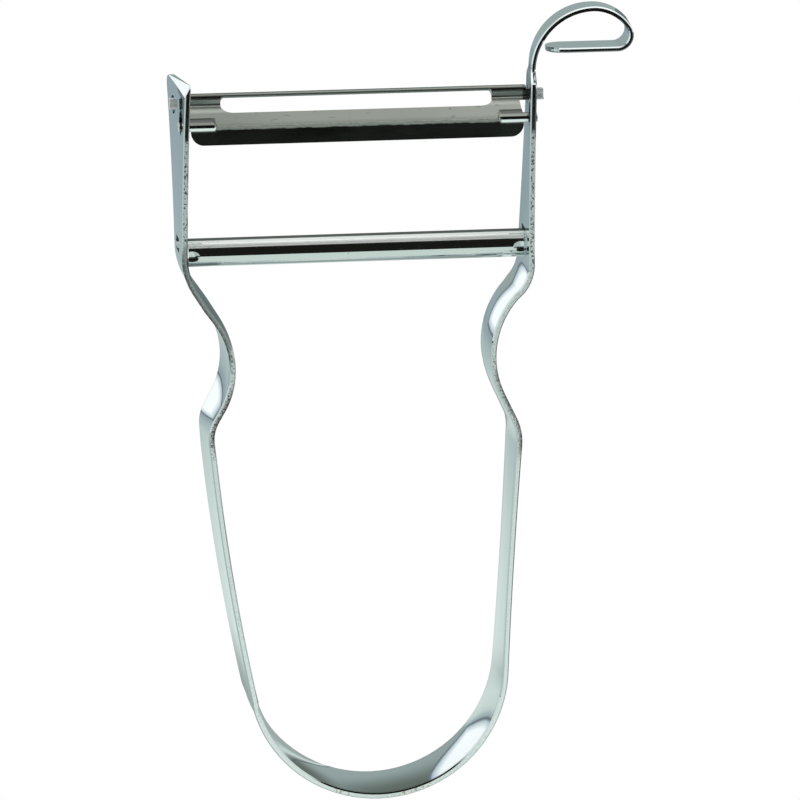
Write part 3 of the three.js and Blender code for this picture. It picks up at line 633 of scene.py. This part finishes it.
# Room: degrees from the level behind the object over the zenith to the front, and shares to a side
WALL_RISE_DEG = (9, 27)
CEILING_RISE_DEG = (28, 40)
FRONT_RISE_DEG = (98, 108)
WALL_DIM_SIDE = (0.27, 0.38)
SIDE_REACH = (0.6, 0.75)
WALL_LOW = rgb(0.36, 0.44, 0.43)
WALL_HIGH = rgb(0.15, 0.18, 0.155)
CEILING_WHITE = rgb(1.40, 1.43, 1.40)
SIDE_WHITE = rgb(1.04, 1.10, 1.09)


def stage_glow(kind, tree, colour):
    """Light of a studio surface, which is plain white to the eye."""
    seen = tree.add("ShaderNodeLightPath").outputs["Is Camera Ray"]
    shown = tree.mix(seen, colour, WHITE)
    return tree.add(kind, {"Color": shown, "Strength": 1.0}).outputs[0]


def floor_material():
    """What the metal mirrors is a table, paler near the object but with a painted shadow around
    its foot, that ends in front of a dark room.
    """
    material, tree = new_material("studio_floor")
    coords = tree.add("ShaderNodeTexCoord").outputs["Object"]
    side, depth, _ = tree.split(coords)
    away = tree.largest(depth, tree.math("MULTIPLY", depth, -FRONT_REACH))
    far = tree.mix(tree.ramp(side, *FAR_LEFT_TO_RIGHT), FLOOR_FAR, FLOOR_FAR_RIGHT)
    shade = tree.product(
        tree.ramp(depth, *SHADE_DEPTH), tree.ramp(side, *SHADE_SIDE), SHADE_SHARE
    )
    table = tree.mix(tree.ramp(away, *NEAR_TO_MIDDLE), FLOOR_NEAR, FLOOR_MIDDLE)
    table = tree.mix(tree.ramp(away, *MIDDLE_TO_FAR), table, far)
    table = tree.mix(tree.between(depth, FOOT_DEPTH, FOOT_SOFT), table, FLOOR_FOOT_SHADOW)
    table = tree.mix(shade, table, ROOM_DARK)
    table = tree.mix(tree.ramp(depth, *TABLE_FRONT), ROOM_DARK, table)
    glow = stage_glow("ShaderNodeEmission", tree, table)
    tree.add("ShaderNodeOutputMaterial", {"Surface": glow})
    return material


def make_floor():
    bpy.ops.mesh.primitive_grid_add(
        x_subdivisions=FLOOR_CELLS, y_subdivisions=FLOOR_CELLS, size=2 * FLOOR_HALF
    )
    floor = bpy.context.object
    floor.name = "studio_floor"
    floor.data.materials.append(floor_material())


def box_material():
    """White cloth of the soft box, bluish towards its dark rim."""
    material, tree = new_material("studio_soft_box")
    coords = tree.split(tree.add("ShaderNodeTexCoord").outputs["Object"])
    to_rim = []
    for axis, size in zip("XY", BOX_SIZE):
        from_middle = tree.math("ABSOLUTE", coords[axis])
        to_rim.append(tree.math("SUBTRACT", size / 2 - BOX_RIM, from_middle))
    inward = tree.math("MINIMUM", *to_rim)
    cloth = tree.mix(tree.ramp(inward, 0.0, BOX_PALE_RIM), BOX_PALE, BOX_WHITE)
    colour = tree.mix(tree.ramp(inward, *BOX_RIM_SOFT), BOX_EDGE, cloth)
    glow = tree.add("ShaderNodeEmission", {"Color": colour, "Strength": 1.0})
    tree.add("ShaderNodeOutputMaterial", {"Surface": glow.outputs[0]})
    return material


def make_soft_box():
    """Upright soft box on the table, behind the object and to its left, out of the camera's sight."""
    wide, tall = BOX_SIZE
    bpy.ops.mesh.primitive_grid_add(x_subdivisions=BOX_CELLS, y_subdivisions=BOX_CELLS, size=1)
    box = bpy.context.object
    box.name = "studio_soft_box"
    box.data.transform(Matrix.Diagonal((wide, tall, 1, 1)))
    box.location = (BOX_RIGHT - wide / 2, BOX_BACK, tall / 2)
    box.rotation_euler = (math.radians(90), 0, 0)
    box.data.materials.append(box_material())
    box.visible_camera = False


def make_room():
    """Light by direction: grey wall behind, bright ceiling, white to the sides, dark to the front."""
    world = bpy.data.worlds.new("studio_room")
    world.use_nodes = True
    scene.world = world
    tree = Tree(world.node_tree)
    side, back, up = tree.split(tree.add("ShaderNodeTexCoord").outputs["Generated"])
    degrees = tree.math("DEGREES", tree.math("ARCTAN2", up, back))
    light = tree.mix(tree.ramp(degrees, *WALL_RISE_DEG), WALL_LOW, WALL_HIGH)
    light = tree.mix(tree.ramp(side, *WALL_DIM_SIDE), light, WALL_HIGH)
    light = tree.mix(tree.ramp(degrees, *CEILING_RISE_DEG), light, CEILING_WHITE)
    light = tree.mix(tree.ramp(degrees, *FRONT_RISE_DEG), light, ROOM_DARK)
    light = tree.mix(tree.ramp(tree.math("ABSOLUTE", side), *SIDE_REACH), light, SIDE_WHITE)
    glow = stage_glow("ShaderNodeBackground", tree, light)
    tree.add("ShaderNodeOutputWorld", {"Surface": glow})


make_floor()
make_soft_box()
make_room()


# Camera at the photo's angle

AIM = Vector((-0.673, 0.0, 58.356)) * MM
BACKWARD = Vector((-0.12217, -0.96707, 0.22325))
DISTANCE = 869.6 * MM
ROLL_DEG = -0.4

# Lens and sensor in millimetres, near and far end of the sight in metres
LENS = 270
SENSOR = 36
SIGHT = (0.05, 50)


def make_camera():
    data = bpy.data.cameras.new("camera")
    data.lens = LENS
    data.sensor_width = SENSOR
    data.clip_start, data.clip_end = SIGHT
    camera = bpy.data.objects.new("camera", data)
    camera.location = AIM + BACKWARD.normalized() * DISTANCE
    camera.rotation_mode = "QUATERNION"
    roll = Quaternion((0, 0, 1), math.radians(ROLL_DEG))
    camera.rotation_quaternion = (-BACKWARD).to_track_quat("-Z", "Y") @ roll
    scene.collection.objects.link(camera)
    scene.camera = camera


make_camera()
scene.view_settings.view_transform = "Standard"
